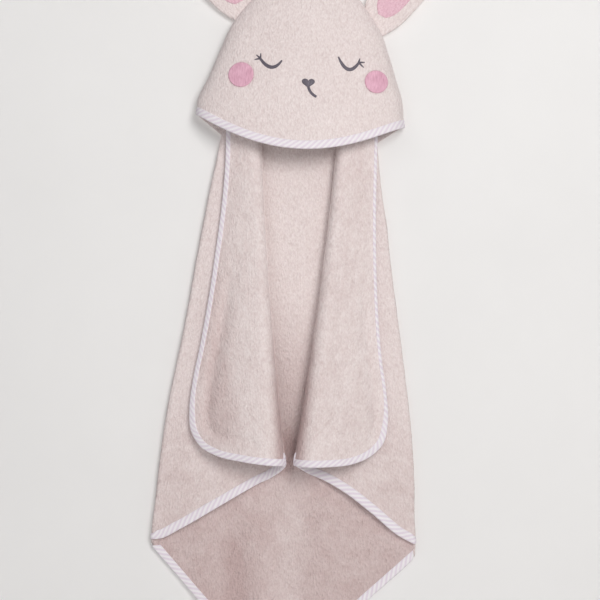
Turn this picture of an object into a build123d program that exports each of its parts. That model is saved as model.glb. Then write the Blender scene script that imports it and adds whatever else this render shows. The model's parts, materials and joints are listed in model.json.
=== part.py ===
from build123d import *
import os
from math import cos, radians, sin

# Hooded baby towel, hanging by its loop. A square of terry has a hood sewn over its top corner.
# Both side corners are folded in over the back, and then turned back outwards over a soft roll.
#
# Frame, in millimetres: X to the right, +Y towards the wall, +Z up.
# The origin is where a hook bears, at the inside top of the hanging loop.
# The front face of the back panel is the plane y = 0, and the folded layers lie in front of it.
# Outlines are drawn as (x, z). Each side is drawn on the right, and the left one is mirrored.

# ---- cloth, tape and thread ----
TERRY = 4.0                          # one layer of terry, pile included
TAPE = 1.2                           # how far the bias tape stands off each face and past the edge
TAPE_WIDTH = 12.0                    # tape on the hood, the side panels and the bottom corner
FLAP_TAPE_WIDTH = 9.5                # tape on the turned-back flaps
STITCH = 0.8                         # thickness of the embroidery
PAD = 0.05                           # air between the hood's cloth and the embroidery on it
REACH = 200.0                        # how far a cutting prism runs to the front and to the rear
EVERYTHING = 3000.0                  # side of a square that covers the whole towel

# ---- back panel ----
HOOD_CORNER = (146.0, -272.0)        # where the hood's mouth meets the seam
BOTTOM_CORNER_Z = -1071.0            # where the two bottom edges would meet
BOTTOM_CORNER_RADIUS = 45.0
CREASE_Z = (-302.0, -880.0)          # top and bottom of the outer creases
LEFT_CREASE = (110.0, 183.0)         # distance of a crease from the middle line at those heights
RIGHT_CREASE = (107.0, 193.0)

# ---- hood: height, half width, and how far its front stands out ----
HOOD_TOP_Z = -40.0
HOOD_STATIONS = [
    (-44.0, 20.0, 6.5),
    (-52.0, 34.0, 9.5),
    (-64.0, 45.0, 13.0),
    (-84.0, 59.0, 19.0),
    (-108.0, 76.0, 26.0),
    (-144.0, 102.0, 35.0),
    (-181.0, 117.0, 43.0),
    (-217.0, 130.0, 49.0),
    (-250.0, 141.0, 54.0),
    (-285.0, 148.0, 58.0),
    (-325.0, 152.0, 61.0),
]
HOOD_BACK_Y = -0.6                   # the hood's cloth stops this far in front of the back panel
MOUTH_CENTRE_Z = -313.0
MOUTH_REACH = 1.15                   # the mouth's curve is drawn out past its corners, then cut

# ---- side panels and flaps ----
WING_Z = (-318.0, -900.0)            # the wings start just under the mouth of the hood
PANEL_BACK_Y = -1.8                  # rear face of a side panel
CREASE_CLEARANCE = 0.5               # from the crease line to the side panel's edge
ROLL_Z = (-306.0, -760.0)
LEFT_ROLL = (54.0, -4.0)             # inner edge of the roll at those heights
RIGHT_ROLL = (51.0, 13.0)
ROLL_RADIUS = (12.0, 28.0)           # outside radius of the roll at those heights
ROLL_GAP = 2.0                       # between the side panel's turn and the flap's turn inside it
FLAP_TURN_START = 150.0              # angle about the roll at which the flap's cloth begins
FLAP_END = (170.0, -9.0)             # the flap's sheet is made out to here, then cut
PANEL_OUTER_Z = -868.0               # the side panel's bottom edge, from the crease inwards
PANEL_BOTTOM = [(140.0, -843.0), (90.0, -810.0), (57.0, -790.0), (35.0, -778.0)]
PANEL_INNER = (-30.0, -773.0)
TAPE_END_GAP = 6.0                   # the side panel's tape stops this far from the crease
FLAP_TOP = (109.0, -318.0)           # the flap's free edge, from the top round to the roll
FLAP_SIDE = [(109.0, -366.0), (115.0, -470.0), (125.0, -570.0), (136.0, -640.0)]
FLAP_CORNER = [(141.0, -697.0), (131.0, -730.0), (105.0, -747.0)]
FLAP_BOTTOM = [(60.0, -757.0), (-30.0, -760.0)]

# ---- ears ----
EAR_TERRY = 3.0                      # one layer of an ear
EAR_FOOT = (-22.0, 16.0)             # distance along the ear from its lining's foot, half width
EAR_SIDE = [(0.0, 27.0), (40.0, 36.0), (85.0, 39.0), (125.0, 33.0), (152.0, 19.0)]
EAR_TIP = 166.0
EAR_BORDER = 12.0                    # terry left showing round the pink lining
EAR_SEAM_GAP = 4.5                   # the ear's cloth starts this far outside the head seam
EAR_MIDDLE_Y = -0.6
LEFT_EAR = (95.0, -115.0, 54.0)      # foot of the lining, and the ear's angle above level
RIGHT_EAR = (104.0, -123.0, 60.0)
LINING = 0.8

# ---- face ----
FACE_X = 7.0                         # the face sits a little to the right of the middle line
EYE_X = 55.0
EYE_Z = -188.0
EYE_DROP = 14.0
EYE_HALF_WIDTH = 15.5
EYE_STROKE = 3.6
LASH_LENGTH = 8.0
LASH_STROKE = 2.2
LASH_ANGLES = (35.0, 80.0, -10.0)    # above level, outwards
LASH_GAP = 0.3                       # from the eye's stroke to a lash
FACE_FRONT_Y = -8.0                  # all the embroidery lies in front of this depth
NOSE_Z = -221.0
NOSE_LOBE = 4.6                      # radius of the heart's two lobes
NOSE_TIP = -8.0                      # the heart's lower tip, from the middle of its lobes
SMILE = [(0.0, -9.8), (3.5, -15.8), (12.0, -19.8)]   # start, middle and end, from the nose
SMILE_STROKE = 3.0
CHEEK_X = 95.0
CHEEK_Z = -215.0
CHEEK_RADIUS = 17.5

# ---- hanging loop and care label ----
LOOP_INSIDE = 20.0
LOOP_THICKNESS = 1.5
LOOP_TAPE_Y = (-6.0, 4.0)
LOOP_INTO_SEAM = 6.0                 # the loop's legs run this far down into the top seam
LABEL_X = 78.0
LABEL_WIDTH = 30.0
LABEL_LENGTH = 42.0
LABEL_THICKNESS = 0.6
LABEL_GAP = 0.8


def prism(outline, front=-REACH, back=REACH):
    """Push an outline through from y = front to y = back."""
    return extrude(Plane((0, back, 0), x_dir=(1, 0, 0), z_dir=(0, -1, 0)) * outline, back - front)


def between(z, heights, values):
    """Value at height z on the straight line through two heights and their values."""
    return values[0] + (z - heights[0]) / (heights[1] - heights[0]) * (values[1] - values[0])


def slab(front, back):
    """Everything between two depths."""
    return prism(Rectangle(EVERYTHING, EVERYTHING), front, back)


def tape_space(edge, outline, width):
    """Room for tape along an edge: inwards by its width, outwards by its thickness."""
    return (prism(trace(edge, 2 * width)) & prism(outline)) + prism(trace(edge, 2 * TAPE))


# ------------------------------------------------------------------ back panel


def head_edge():
    """Right-hand edge of the hood, from its top down to the corner of its mouth."""
    points = [(0, HOOD_TOP_Z)]
    points += [(width, z) for z, width, _ in HOOD_STATIONS if z > HOOD_CORNER[1]]
    return Polyline(*points, HOOD_CORNER)


def bottom_edge():
    """The towel's bottom corner, from the low end of one crease to that of the other."""
    right, left = (RIGHT_CREASE[1], CREASE_Z[1]), (-LEFT_CREASE[1], CREASE_Z[1])
    return FilletPolyline(right, (0, BOTTOM_CORNER_Z), left, radius=BOTTOM_CORNER_RADIUS)


def back_outline():
    """Head, creases and bottom corner."""
    right = head_edge()
    right_side = Polyline(HOOD_CORNER, (RIGHT_CREASE[0], CREASE_Z[0]), (RIGHT_CREASE[1], CREASE_Z[1]))
    left_side = Polyline(
        (-HOOD_CORNER[0], HOOD_CORNER[1]),
        (-LEFT_CREASE[0], CREASE_Z[0]),
        (-LEFT_CREASE[1], CREASE_Z[1]),
    )
    return make_face([right, mirror(right, Plane.YZ), right_side, bottom_edge(), left_side])


def back_panel():
    """The tape presses the terry thin along the bottom edge, so the rear stays flat."""
    outline = back_outline()
    space = tape_space(bottom_edge(), outline, TAPE_WIDTH)
    panel = prism(outline, 0, TERRY) - (space & slab(TERRY - TAPE, TERRY))
    tape = (space & slab(-TAPE, TERRY)) - prism(outline, 0, TERRY - TAPE)
    return panel, tape


def loop_outline(half_width, foot):
    """Upright slot shape with a round top, centred so that the loop's inside top is at z = 0."""
    middle = -LOOP_INSIDE / 2
    legs = Pos(0, (middle + foot) / 2) * Rectangle(2 * half_width, middle - foot)
    return legs + Pos(0, middle) * Circle(half_width)


def hanging_loop():
    """A tape loop standing up out of the top seam, open from front to back."""
    foot = HOOD_TOP_Z - LOOP_INTO_SEAM
    outer = loop_outline(LOOP_INSIDE / 2 + LOOP_THICKNESS, foot)
    inner = loop_outline(LOOP_INSIDE / 2, foot)
    return prism(outer - inner, *LOOP_TAPE_Y) - prism(back_outline())


# ------------------------------------------------------------------ hood and face


def hood_form(swell):
    """Solid as far as the hood's outer face, with that face moved outwards by swell."""
    sections = []
    for z, half_width, depth in HOOD_STATIONS:
        w, d = half_width + swell, depth + swell
        front = ThreePointArc((-w, HOOD_BACK_Y, z), (0, -d, z), (w, HOOD_BACK_Y, z))
        sections.append(make_face([front, Line(front @ 1, front @ 0)]))
    return loft(sections, ruled=True)


def hood_shell(swell):
    """The hood's cloth, thickened by swell on both faces."""
    return hood_form(swell) - hood_form(-TERRY - swell)


def mouth_edge(lift=0.0):
    """The hood's curved free edge, drawn a little past the head seam at both ends."""
    x = HOOD_CORNER[0] * MOUTH_REACH
    z = MOUTH_CENTRE_Z + (HOOD_CORNER[1] - MOUTH_CENTRE_Z) * MOUTH_REACH**2 + lift
    return ThreePointArc((-x, z), (0, MOUTH_CENTRE_Z + lift), (x, z))


def above_mouth(lift):
    """Outline of all that lies above the mouth's edge."""
    edge = mouth_edge(lift)
    left, right = edge @ 0, edge @ 1
    return make_face([edge, Polyline(right, (right.X, 0), (left.X, 0), left)])


def hood():
    panel = hood_shell(0) & prism(above_mouth(0))
    band = above_mouth(-TAPE) - above_mouth(TAPE_WIDTH)
    return panel, (hood_shell(TAPE) & prism(band)) - panel


def stitched(outline):
    """Embroidery: an outline laid on the hood's outer face."""
    skin = hood_form(STITCH + PAD) - hood_form(PAD)
    return skin & prism(outline, -REACH, FACE_FRONT_Y)


def stroke(curve, width):
    """A line of satin stitch with round ends."""
    line = trace(curve, width)
    for end in (curve @ 0, curve @ 1):
        line += Pos(end.X, end.Y) * Circle(width / 2)
    return line


def eye(side):
    """A closed eyelid: one arc that sags in the middle."""
    x = FACE_X + side * EYE_X
    inner, outer = x - side * EYE_HALF_WIDTH, x + side * EYE_HALF_WIDTH
    return stroke(ThreePointArc((inner, EYE_Z), (x, EYE_Z - EYE_DROP), (outer, EYE_Z)), EYE_STROKE)


def lashes(side):
    """Short strokes fanning out from the eye's outer end."""
    root = Vector(FACE_X + side * (EYE_X + EYE_HALF_WIDTH), EYE_Z)
    fan = Sketch()
    for angle in LASH_ANGLES:
        way = Vector(side * cos(radians(angle)), sin(radians(angle)))
        start = root + way * (EYE_STROKE / 2 + LASH_GAP)
        fan += trace(Line(start, start + way * LASH_LENGTH), LASH_STROKE)
    return fan


def nose():
    """A small heart."""
    heart = Sketch()
    for side in (-1, 1):
        heart += Pos(side * 0.85 * NOSE_LOBE, 0) * Circle(NOSE_LOBE)
    shoulder = (1.68 * NOSE_LOBE, -0.5 * NOSE_LOBE)
    notch = (0, 0.5 * NOSE_LOBE)
    point = Polyline((-shoulder[0], shoulder[1]), (0, NOSE_TIP), shoulder, notch, close=True)
    return Pos(FACE_X, NOSE_Z) * (heart + make_face(point))


def smile():
    """One curved stroke that starts under the nose."""
    return Pos(FACE_X, NOSE_Z) * stroke(ThreePointArc(*SMILE), SMILE_STROKE)


def cheek(side):
    """A round patch beside the nose."""
    return Pos(FACE_X + side * CHEEK_X, CHEEK_Z) * Circle(CHEEK_RADIUS)


# ------------------------------------------------------------------ side panels and flaps


def roll_at(inner_edge, z):
    """Centre x, centre y and outside radius of the roll at height z."""
    radius = between(z, ROLL_Z, ROLL_RADIUS)
    return between(z, ROLL_Z, inner_edge) + radius, PANEL_BACK_Y - radius, radius


def arc_about_roll(inner_edge, z, radius, start, end):
    """Arc in a level section of the roll. The angle runs from +X, and 90 is towards the wall."""
    x, y, _ = roll_at(inner_edge, z)
    turns = [radians(angle) for angle in (start, (start + end) / 2, end)]
    return ThreePointArc(*[(x + radius * cos(a), y + radius * sin(a), z) for a in turns])


def panel_turn(inner_edge, z, swell):
    """Section of the side panel's quarter turn, from lying flat to facing the middle."""
    radius = roll_at(inner_edge, z)[2]
    far = arc_about_roll(inner_edge, z, radius + swell, 90, 180)
    near = arc_about_roll(inner_edge, z, radius - TERRY - swell, 180, 90)
    return make_face([far, Line(far @ 1, near @ 0), near, Line(near @ 1, far @ 0)])


def flap_section(inner_edge, z, swell):
    """A flap turns round inside the side panel's turn and runs back outwards in front of it."""
    outside = roll_at(inner_edge, z)[2] - TERRY - ROLL_GAP
    far = arc_about_roll(inner_edge, z, outside + swell, FLAP_TURN_START, 270)
    near = arc_about_roll(inner_edge, z, outside - TERRY - swell, 270, FLAP_TURN_START)
    x, y = FLAP_END
    sheet = Polyline(far @ 1, (x, y - TERRY - swell, z), (x, y + swell, z), near @ 0)
    return make_face([far, sheet, near, Line(near @ 1, far @ 0)])


def panel_sheet(inner_edge, swell):
    """The side panel before it is cut to its outline: a flat plate and the turn at its inner edge."""
    top, low = [roll_at(inner_edge, z)[0] for z in WING_Z]
    corners = [(top, WING_Z[0]), (REACH, WING_Z[0]), (REACH, WING_Z[1]), (low, WING_Z[1])]
    flat = Polyline(*corners, close=True)
    plate = prism(make_face(flat), PANEL_BACK_Y - TERRY - swell, PANEL_BACK_Y + swell)
    return plate + loft([panel_turn(inner_edge, z, swell) for z in WING_Z], ruled=True)


def flap_sheet(inner_edge, swell):
    """The flap before it is cut to its outline."""
    return loft([flap_section(inner_edge, z, swell) for z in WING_Z], ruled=True)


def side_panel(crease, inner_edge):
    """The folded-in side, and the tape along its slanting bottom edge."""
    top_x, low_x = [between(z, CREASE_Z, crease) - CREASE_CLEARANCE for z in (WING_Z[0], PANEL_OUTER_Z)]
    bottom = Spline((low_x, PANEL_OUTER_Z), *PANEL_BOTTOM, PANEL_INNER)
    rest = Polyline(PANEL_INNER, (PANEL_INNER[0], WING_Z[0]), (top_x, WING_Z[0]), (low_x, PANEL_OUTER_Z))
    outline = make_face([bottom, rest])
    clear_of_crease = Pos(low_x - TAPE_END_GAP - REACH, PANEL_OUTER_Z) * Rectangle(2 * REACH, REACH)
    space = tape_space(bottom, outline, TAPE_WIDTH) & prism(clear_of_crease)
    panel = panel_sheet(inner_edge, 0) & prism(outline)
    return panel, (panel_sheet(inner_edge, TAPE) & space) - panel


def flap(inner_edge):
    """The turned-back flap, and the tape round its free edge."""
    side = Spline(FLAP_TOP, *FLAP_SIDE, FLAP_CORNER[0])
    corner = ThreePointArc(*FLAP_CORNER)
    bottom = Spline(FLAP_CORNER[-1], *FLAP_BOTTOM)
    inner_x = FLAP_BOTTOM[-1][0]
    rest = Polyline(FLAP_BOTTOM[-1], (inner_x, FLAP_TOP[1]), FLAP_TOP)
    outline = make_face([side, corner, bottom, rest])
    space = tape_space([side, corner, bottom], outline, FLAP_TAPE_WIDTH)
    panel = flap_sheet(inner_edge, 0) & prism(outline)
    return panel, (flap_sheet(inner_edge, TAPE) & space) - panel


# ------------------------------------------------------------------ ears


def leaf(side, tip):
    """A leaf along +X, from its side points (distance along, half width) and its tip."""
    points = [(along, -across) for along, across in side] + [(tip, 0)] + side[::-1]
    curve = Spline(points)
    if side[0][1] == 0:
        return make_face(curve)
    return make_face([curve, Line(curve @ 1, curve @ 0)])


def ear_outline():
    """The whole ear, from inside the head seam to its tip."""
    return leaf([EAR_FOOT] + EAR_SIDE, EAR_TIP)


def lining_outline():
    """The pink lining follows the ear's edge and comes to a point at its foot."""
    side = [(along, across - EAR_BORDER) for along, across in EAR_SIDE[1:-1]]
    return leaf([(0, 0)] + side, EAR_TIP - EAR_BORDER)


def ear(foot):
    """Two layers of terry and the pink lining on the front one."""
    x, z, angle = foot
    place = Pos(x, z) * Rot(0, 0, angle)
    head, seam = prism(back_outline()), prism(trace(head_edge(), 2 * EAR_SEAM_GAP))
    whole = prism(place * ear_outline()) - head - seam
    lining = prism(place * lining_outline()) - head - seam
    face_y = EAR_MIDDLE_Y - EAR_TERRY
    front = whole & slab(face_y, EAR_MIDDLE_Y)
    back = whole & slab(EAR_MIDDLE_Y, EAR_MIDDLE_Y + EAR_TERRY)
    return front, back, lining & slab(face_y - LINING, face_y)


# ------------------------------------------------------------------ label


def care_label():
    """A blank tape label that hangs from the bottom edge on the right."""
    slope = (RIGHT_CREASE[1], CREASE_Z[1] - BOTTOM_CORNER_Z)
    along = Vector(*slope).normalized()
    down = Vector(along.Y, -along.X)
    root = Vector(LABEL_X, BOTTOM_CORNER_Z + LABEL_X * slope[1] / slope[0]) + down * (TAPE + LABEL_GAP)
    corners = [root - along * LABEL_WIDTH / 2, root + along * LABEL_WIDTH / 2]
    corners += [corner + down * LABEL_LENGTH for corner in reversed(corners)]
    middle = (TERRY - TAPE) / 2
    front, back = middle - LABEL_THICKNESS / 2, middle + LABEL_THICKNESS / 2
    return prism(make_face(Polyline(*corners, close=True)), front, back)


# ------------------------------------------------------------------ all the pieces


def pieces():
    """Every piece of the towel under the name that its file gets."""
    made = {"hanging_loop": hanging_loop(), "care_label": care_label()}
    made["back_panel"], made["bottom_binding"] = back_panel()
    made["hood_panel"], made["hood_binding"] = hood()
    made["nose"] = stitched(nose())
    made["smile"] = stitched(smile())
    for name, side in (("left", -1), ("right", 1)):
        crease, inner_edge, foot = {
            -1: (LEFT_CREASE, LEFT_ROLL, LEFT_EAR),
            1: (RIGHT_CREASE, RIGHT_ROLL, RIGHT_EAR),
        }[side]
        made[name + "_eye"] = stitched(eye(side))
        made[name + "_lashes"] = stitched(lashes(side))
        made[name + "_cheek"] = stitched(cheek(side))
        panel, panel_tape = side_panel(crease, inner_edge)
        turned, turned_tape = flap(inner_edge)
        ear_front, ear_back, ear_lining = ear(foot)
        folded = {
            "side_panel": panel,
            "side_binding": panel_tape,
            "flap": turned,
            "flap_binding": turned_tape,
            "ear_front": ear_front,
            "ear_back": ear_back,
            "ear_lining": ear_lining,
        }
        for part, solid in folded.items():
            made[f"{name}_{part}"] = solid if side > 0 else mirror(solid, Plane.YZ)
    return made


os.makedirs("parts", exist_ok=True)
for node, solid in pieces().items():
    export_step(solid, f"parts/{node}.step")
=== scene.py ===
import json
import math
import bmesh
import bpy
import numpy as np
from mathutils import Matrix, Vector, kdtree
from mathutils.geometry import delaunay_2d_cdt


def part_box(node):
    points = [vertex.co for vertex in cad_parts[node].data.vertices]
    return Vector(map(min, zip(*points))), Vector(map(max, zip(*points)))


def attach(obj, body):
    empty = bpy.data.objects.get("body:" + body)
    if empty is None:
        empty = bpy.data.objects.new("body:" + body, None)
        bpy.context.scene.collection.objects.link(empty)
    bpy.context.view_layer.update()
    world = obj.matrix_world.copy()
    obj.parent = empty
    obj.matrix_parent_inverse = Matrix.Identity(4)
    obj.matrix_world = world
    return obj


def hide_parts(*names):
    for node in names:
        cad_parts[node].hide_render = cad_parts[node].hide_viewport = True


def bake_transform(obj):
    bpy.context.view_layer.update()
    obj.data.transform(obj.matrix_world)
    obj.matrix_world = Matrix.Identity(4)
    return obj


# Hooded baby towel, hanging by its loop in front of a wall.
# Every surface is worked out in millimetres, and MM turns it into metres when a mesh is made.
# Side surfaces are worked out on the right, with x growing outwards, and the left one is mirrored.

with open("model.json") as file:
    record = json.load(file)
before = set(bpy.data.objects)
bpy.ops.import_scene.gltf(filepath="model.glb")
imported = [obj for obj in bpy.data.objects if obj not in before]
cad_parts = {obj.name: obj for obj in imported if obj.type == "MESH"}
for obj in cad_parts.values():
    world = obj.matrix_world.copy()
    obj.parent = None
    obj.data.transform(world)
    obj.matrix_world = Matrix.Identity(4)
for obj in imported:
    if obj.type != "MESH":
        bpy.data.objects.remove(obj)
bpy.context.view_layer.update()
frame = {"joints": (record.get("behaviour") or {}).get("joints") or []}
joints = {joint["name"]: joint for joint in frame["joints"]}

MM = 0.001
QUARTER = math.pi / 2
SIDES = {"left": -1, "right": 1}

# ---- cloth, tape and thread ----
HALF_TERRY = 2.0  # half of one layer of terry, pile included
TAPE_PROUD = 1.0  # how far the tape stands off the terry
TAPE_WIDTH = 11.2
HOOD_TAPE_WIDTH = 9.9
BOTTOM_TAPE_WIDTH = 9.2
BOTTOM_TAPE_ENDS = (1, 0.15), (-0.08, 1)  # the directions that its ends lie along
FLAP_TAPE_WIDTH = 8.4
TURNED_TAPE_WIDTH = {"left": 5.4, "right": 3.2}  # the flaps' side edges are turned away
BACK_STEP = 2.6  # mesh spacing on the back panel
STEP = 2.1  # mesh spacing on everything else
TAPE_STEP = 1.6
TAPE_PROFILE = (  # places across the tape from its inner edge, and how proud it is there
    (1.0, -0.6), (1.0, 0.45), (0.92, 0.85), (0.8, 1.05), (0.6, 1.12), (0.4, 1.1), (0.2, 1.05), (0.0, 1.0),
)
TAPE_TURN = (22, 45, 68, 90, 112, 135, 158)  # degrees round the folded edge
TAPE_TURN_SHAPE = 0.55  # below 1 the folded edge is flatter than a half circle
MITRE_REACH = 16.0  # how far from its ends a mitred tape is sheared
PUCKER, PUCKER_PITCH = 0.16, 7.3  # small waves that the seam makes in the tape
REAR_PILE_SHIFT = 500  # the rear of a sheet takes its pile from this far away
THINNEST_RIM = 0.12  # share of the thickness that a rounded sheet keeps at its rim
PILE = [(2.3, 0.13, 10), (4.4, 0.22, 11), (9.0, 0.20, 12), (19.0, 0.22, 13)]  # lump size, height, seed
WAVES = [(60.0, 0.7, 21), (120.0, 1.1, 22)]  # the same for the cloth itself
BACK_STREAKS = [(9.0, 0.6, 51), (22.0, 0.6, 52)]  # and for random streaks in the painted shade
WING_STREAKS = [(9.0, 0.6, 53), (22.0, 0.6, 54)]
FLAP_STREAKS = [(7.0, 0.7, 55), (20.0, 0.6, 56)]
FLAP_CREASES = [(14.0, 0.8, 61)]

# ---- heights ----
TOP_Z = -286.0  # wings and flaps end here, hidden under the hood
SPLIT_Z = -450.0  # the flaps are made in two lengths that meet here
HEAD_TOP_Z = -41.0
NECK_Z = -302.0
CREASE_END_Z = -880.0
CORNER_Z = -1071.0  # where the two bottom edges would meet
CORNER_ROUNDING = 19.0  # how far the rounded corner stops above that

# ---- hood ----
HOOD_CORNER = (146.0, -272.0)
HOOD_BACK_Y = -0.6
MOUTH_Z = -318.0
LEFT_CORNER_DROP = 1.0
RIGHT_CORNER_DROP = 5.0
HOOD_STATIONS = [  # height, half width, depth
    (-40.0, 13.0, 4.5), (-44.0, 21.0, 6.5), (-52.0, 34.0, 9.5), (-64.0, 45.0, 13.0),
    (-84.0, 59.0, 19.0), (-108.0, 76.0, 26.0), (-144.0, 102.0, 35.0), (-181.0, 117.0, 42.0),
    (-217.0, 130.0, 47.0), (-250.0, 141.0, 51.0), (-285.0, 148.0, 54.0), (-325.0, 152.0, 56.0),
]
HOOD_SWELL = 3.5  # the left side swells and the right one draws in by this much
HOOD_FULLNESS = 0.8  # below 1 the hood's section is fuller than an ellipse

# ---- how far the soft folds stand out past the straight crease lines ----
CREASE_BULGE = {
    "left": [
        (-286, 2.0), (-336, 2.9), (-380, 4.8), (-450, 6.1), (-592, 6.6), (-670, 9.4),
        (-735, 8.2), (-791, 5.2), (-822, 2.8), (-850, 1.6), (-880, -1.5),
    ],
    "right": [
        (-286, 2.4), (-336, 1.2), (-380, 1.8), (-414, 4.2), (-470, 4.6), (-530, 6.6), (-604, 9.2),
        (-680, 11.2), (-772, 8.8), (-829, 3.8), (-857, 2.2), (-880, -1.0),
    ],
}
FOLD_HALF_DEPTH = 2.9  # from the crease line to the middle of either layer
FOLD_END = 25.0  # degrees past sideways at which the wing tucks in behind
HEM_TURN = 80.0  # degrees that the back panel's hem curls forward
THINNEST_FOLD = 0.6
ROLL_BOW = 4.5  # the rolls are this much slimmer half way down
ROLL_ENDS = (-306.0, -760.0)
ROLL_CLEARANCE = 1.8  # between a roll and the back panel

# ---- edges of the flaps and wings, as (distance from the middle, height) ----
FLAP_EDGE = {
    "left": [
        (103.5, -286), (101.8, -340), (104.0, -405), (109.0, -466), (115.5, -534), (124.0, -600),
        (131.5, -650), (133.8, -688), (130.0, -717), (116.0, -737), (92.0, -748), (57.0, -753),
        (10.0, -756), (-60.0, -757),
    ],
    "right": [
        (106.0, -286), (107.2, -340), (109.5, -405), (113.5, -473), (120.0, -545), (129.0, -610),
        (137.5, -655), (141.0, -693), (136.0, -721), (120.0, -738), (96.0, -749), (59.0, -754),
        (13.0, -756), (-60.0, -757),
    ],
}
WING_EDGE = {
    "left": [
        (183, -873), (168, -871), (143, -857), (94, -825), (54, -799), (31, -785), (8, -775), (-60, -765),
    ],
    "right": [
        (193, -862), (168, -850), (127, -819), (86, -791), (60, -778), (41, -771), (20, -766), (-60, -760),
    ],
}
FLAP_EDGE_Y = -12.5
ROLL_BOTTOM_Z = -749.0  # where the wing's edge meets the flap's, at the inside of the roll

# ---- face, as (x, height) seen from the front ----
EYES = {  # the inner end, the lowest place and the outer end
    "left": [(-31.0, -198.3), (-45.5, -208.4), (-62.0, -195.4)],
    "right": [(46.2, -189.0), (61.0, -205.5), (75.6, -193.5)],
}
LASH_TIPS = {
    "left": [(-67.5, -198.2), (-65.6, -192.6), (-60.6, -190.6)],
    "right": [(75.6, -190.2), (81.6, -193.9), (80.8, -200.4)],
}
CHEEKS = {"left": (-86.4, -220.0, 17.4), "right": (100.3, -219.6, 16.0)}  # and the radius
NOSE = (6.6, -228.0)
SMILE = [(7.0, -232.5), (10.8, -241.0), (19.0, -246.8)]
EYE_WIDTHS = (2.2, 4.4, 5.2, 4.6, 3.2)  # along the eye
LASH_WIDTHS = (2.8, 2.4, 1.3)
SMILE_WIDTHS = (3.8, 4.0, 4.0, 3.4)
THREAD_PITCH = 0.55  # from one satin stitch to the next
PATCH_STEP = 0.8  # mesh spacing of a filled area of stitches
ARCH_LINES = 9  # lines along the rounded top of a bar of stitches
STITCH_RIDGE, STITCH_ROOT = 0.07, 1.4  # height of each thread, and how deep a bar sits in the pile

# ---- ears ----
EAR_SIDE = [(-22, 16), (0, 27), (40, 36), (85, 39), (125, 33), (152, 19)]
EAR_TIP = 166.0
EAR_BORDER = 14.5
EARS = {"left": (95.0, -114.0, 53.5), "right": (104.0, -123.0, 60.0)}
EAR_SEAM_DEPTH = 5.0  # how far an ear runs in between the hood and the back panel
EAR_BLEND = (-0.004, 0.012)  # metres along the ear from its seam
EAR_SHEET = {"half": 1.5, "rounding": 3}
LINING_SHEET = {"step": 1.8, "half": 0.7, "rounding": 1.5, "pile": 0.25}


# ---- small tools ----

SMOOTH_SAMPLES = 40  # for each point that a smooth line goes through
CDT_INSIDE, CDT_CLOSE = 1, 1e-7  # keep the triangles inside the outline, and merge points this close


def lattice(ix, iy, seed):
    """A fixed value from -1 to 1 for each lattice point."""
    mixed = (ix * 374761393 + iy * 668265263 + seed * 97471123) & 0xFFFFFFFF
    mixed = ((mixed ^ (mixed >> 13)) * 1274126177) & 0xFFFFFFFF
    return ((mixed ^ (mixed >> 16)) & 0xFFFF) / 32767.5 - 1


def noise(points, size, seed):
    """Smooth lumps of about that size over flat points, from -1 to 1."""
    scaled = points / size
    corner = np.floor(scaled).astype(np.int64)
    part = scaled - corner
    part = part * part * (3 - 2 * part)
    value = 0
    for dx in (0, 1):
        for dy in (0, 1):
            weight = np.abs(1 - dx - part[:, 0]) * np.abs(1 - dy - part[:, 1])
            value = value + weight * lattice(corner[:, 0] + dx, corner[:, 1] + dy, seed)
    return value


def lumps(points, layers):
    """The sum of several noises, each with its size, height and seed."""
    return sum(height * noise(points, size, seed) for size, height, seed in layers)


def waves(points, shift=0):
    """The cloth's own soft waves. Each surface takes them from another place."""
    return lumps(points + shift, WAVES)


def ease(value, start, end):
    """0 before start, 1 after end, and smooth between them."""
    t = np.clip((value - start) / (end - start), 0, 1)
    return t * t * (3 - 2 * t)


def bump(value, middle, width):
    return np.exp(-(((value - middle) / width) ** 2))


def curve_through(table):
    """A smooth function through (where, value) pairs."""
    where, value = np.array(sorted(table), float).T
    slope = np.gradient(value, where)

    def at(x):
        x = np.clip(x, where[0], where[-1])
        i = np.clip(np.searchsorted(where, x) - 1, 0, len(where) - 2)
        h = where[i + 1] - where[i]
        t = (x - where[i]) / h
        start = (1 + 2 * t) * (1 - t) ** 2 * value[i] + t * (1 - t) ** 2 * h * slope[i]
        return start + t * t * (3 - 2 * t) * value[i + 1] - t * t * (1 - t) * h * slope[i + 1]

    return at


def columns(*parts):
    """Points from their coordinates."""
    return np.column_stack(parts)


def unit(ways):
    """Directions with a length of one."""
    return ways / np.linalg.norm(ways, axis=1)[:, None]


def upright(across, start, end, count):
    """A line from one height to another, whose place across is a function of the height."""
    return [(float(across(z)), z) for z in np.linspace(start, end, count)]


def level(start, end, z):
    """A line along one height."""
    return [(across, z) for across in np.linspace(start, end, 60)]


def curl(x, y, where, centre, radii, angle):
    """The coordinates with the ones that where picks moved onto an ellipse."""
    x = np.where(where, centre[0] + radii[0] * np.cos(angle), x)
    return x, np.where(where, centre[1] + radii[1] * np.sin(angle), y)


def lengths_along(line):
    """The distance travelled along a line at each of its points."""
    return np.concatenate([[0], np.cumsum(np.linalg.norm(np.diff(line, axis=0), axis=1))])


def spaced(points, step):
    """The same line with evenly spaced points about step apart."""
    points = np.array(points, float)
    length = lengths_along(points)
    where = np.linspace(0, length[-1], max(2, int(round(length[-1] / step)) + 1))
    return np.column_stack([np.interp(where, length, column) for column in points.T])


def smooth_line(points, step):
    """A smooth line through the points, evenly spaced."""
    points = np.array(points, float)
    knots = lengths_along(points)
    where = np.linspace(0, knots[-1], SMOOTH_SAMPLES * len(points))
    line = [curve_through(list(zip(knots, column)))(where) for column in points.T]
    return spaced(np.column_stack(line), step)


def directions(line):
    """Unit direction of travel at each point of a line."""
    return unit(np.gradient(line, axis=0))


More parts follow.
